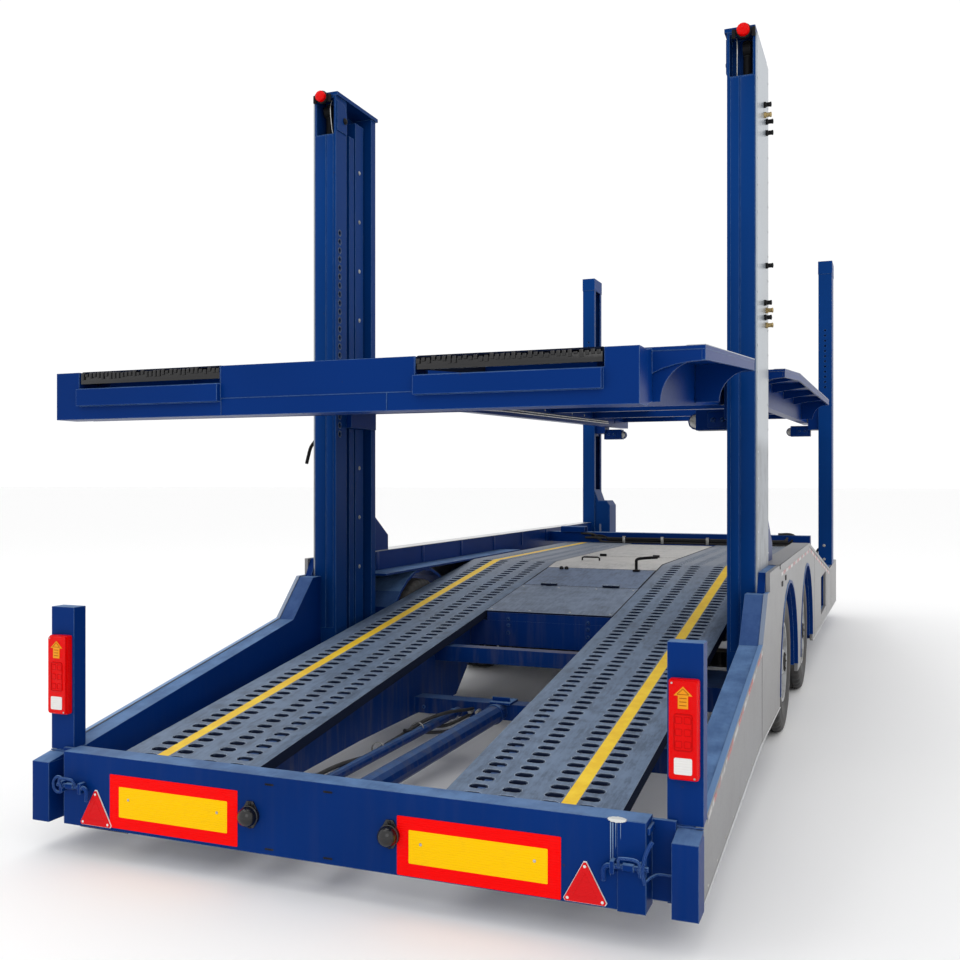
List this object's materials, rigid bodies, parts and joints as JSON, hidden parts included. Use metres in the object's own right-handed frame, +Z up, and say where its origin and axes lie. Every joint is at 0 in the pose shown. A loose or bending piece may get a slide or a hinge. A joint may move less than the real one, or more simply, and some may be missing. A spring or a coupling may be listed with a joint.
{
  "type": "car transporter trailer",
  "caption": "Centre-axle car transporter trailer with a humped lower deck, lifting posts and a raised upper deck, parked on its front legs.",
  "frame": {"origin": "on the ground, midway between the upper deck rear beam and the tip of the towing eye, on the centre line", "axes": "+Y forward to the towing eye, +X to the right, +Z up"},
  "size_m": [2.55, 10.69, 3.606],
  "materials": {
    "blue_paint": "deep blue paint, worn on top faces",
    "grey_track": "blue-grey coated perforated steel, scuffed",
    "upper_plate": "ribbed aluminium track",
    "silver_panel": "plain bright sheet",
    "tyre_rubber": "matt rubber",
    "black_rubber": "matt rubber",
    "lamp_red": "clear red lens",
    "wheel_steel": "silver painted steel",
    "axle_black": "black chassis paint"
  },
  "bodies": {
    "trailer": {"axle_front": "axle_black", "axle_rear": "axle_black", "drawbar": "blue_paint", "front_cover": "grey_track", "front_crossbeam": "blue_paint", "front_post_left": "blue_paint", "front_post_right": "blue_paint", "locker_box": "blue_paint", "lower_track_left": "grey_track", "lower_track_right": "grey_track", "main_frame": "blue_paint", "post_cladding_left": "silver_panel", "post_cladding_right": "silver_panel", "post_lamp_left": "lamp_red", "post_lamp_right": "lamp_red", "rear_cover": "grey_track", "rear_crossmember": "blue_paint", "rear_post_left": "blue_paint", "rear_post_right": "blue_paint", "rubber_buffer_left": "black_rubber", "rubber_buffer_right": "black_rubber", "side_panel_left": "silver_panel", "side_panel_right": "silver_panel", "side_rail_left": "blue_paint", "side_rail_right": "blue_paint", "support_leg_left": "blue_paint", "support_leg_right": "blue_paint", "tail_lamp_left": "lamp_red", "tail_lamp_right": "lamp_red", "wheel_arch_left": "blue_paint", "wheel_arch_right": "blue_paint"},
    "front_lift": {"front_carriage_left": "blue_paint", "front_carriage_right": "blue_paint"},
    "upper_deck": {"upper_frame": "blue_paint", "upper_rear_beam": "blue_paint", "upper_wing_left": "blue_paint", "upper_wing_right": "blue_paint", "upper_track_left": "upper_plate", "upper_track_right": "upper_plate"},
    "rear_lift": {"rear_carriage_left": "blue_paint", "rear_carriage_right": "blue_paint"},
    "hatch": {"hatch_lid": "grey_track"},
    "wheel_rear_left_body": {"tyre_rear_left": "tyre_rubber", "wheel_rear_left": "wheel_steel"},
    "wheel_rear_right_body": {"tyre_rear_right": "tyre_rubber", "wheel_rear_right": "wheel_steel"},
    "wheel_front_left_body": {"tyre_front_left": "tyre_rubber", "wheel_front_left": "wheel_steel"},
    "wheel_front_right_body": {"tyre_front_right": "tyre_rubber", "wheel_front_right": "wheel_steel"}
  },
  "joints": [
    {"name": "wheel_rear_left_spin", "type": "hinge", "parent": "trailer", "child": "wheel_rear_left_body", "pos_m": [-1.128, -2.165, 0.395], "axis": [1, 0, 0], "continuous": true},
    {"name": "wheel_rear_right_spin", "type": "hinge", "parent": "trailer", "child": "wheel_rear_right_body", "pos_m": [1.128, -2.165, 0.395], "axis": [1, 0, 0], "continuous": true},
    {"name": "wheel_front_left_spin", "type": "hinge", "parent": "trailer", "child": "wheel_front_left_body", "pos_m": [-1.128, -0.805, 0.395], "axis": [1, 0, 0], "continuous": true},
    {"name": "wheel_front_right_spin", "type": "hinge", "parent": "trailer", "child": "wheel_front_right_body", "pos_m": [1.128, -0.805, 0.395], "axis": [1, 0, 0], "continuous": true},
    {"name": "deck_lift", "type": "slide", "parent": "trailer", "child": "front_lift", "axis": [0, 0, 1], "range_m": [-0.15, 0.95]},
    {"name": "deck_tilt", "type": "hinge", "parent": "front_lift", "child": "upper_deck", "pos_m": [0, 2.775, 2.08119], "axis": [-1, 0, 0], "range_deg": [-3.5, 5.5]},
    {"name": "rear_carriage_slide", "type": "slide", "parent": "front_lift", "child": "rear_lift", "axis": [0, 0, 1], "range_m": [-0.345, 0.541]},
    {"name": "hatch_hinge", "type": "hinge", "parent": "trailer", "child": "hatch", "pos_m": [0, -2.025, 0.77002], "axis": [1, 0, 0], "range_deg": [0, 100]}
  ],
  "couplings": [
    {"joint": "rear_carriage_slide", "follows": "deck_tilt", "m_per_rad": 5.63}
  ]
}
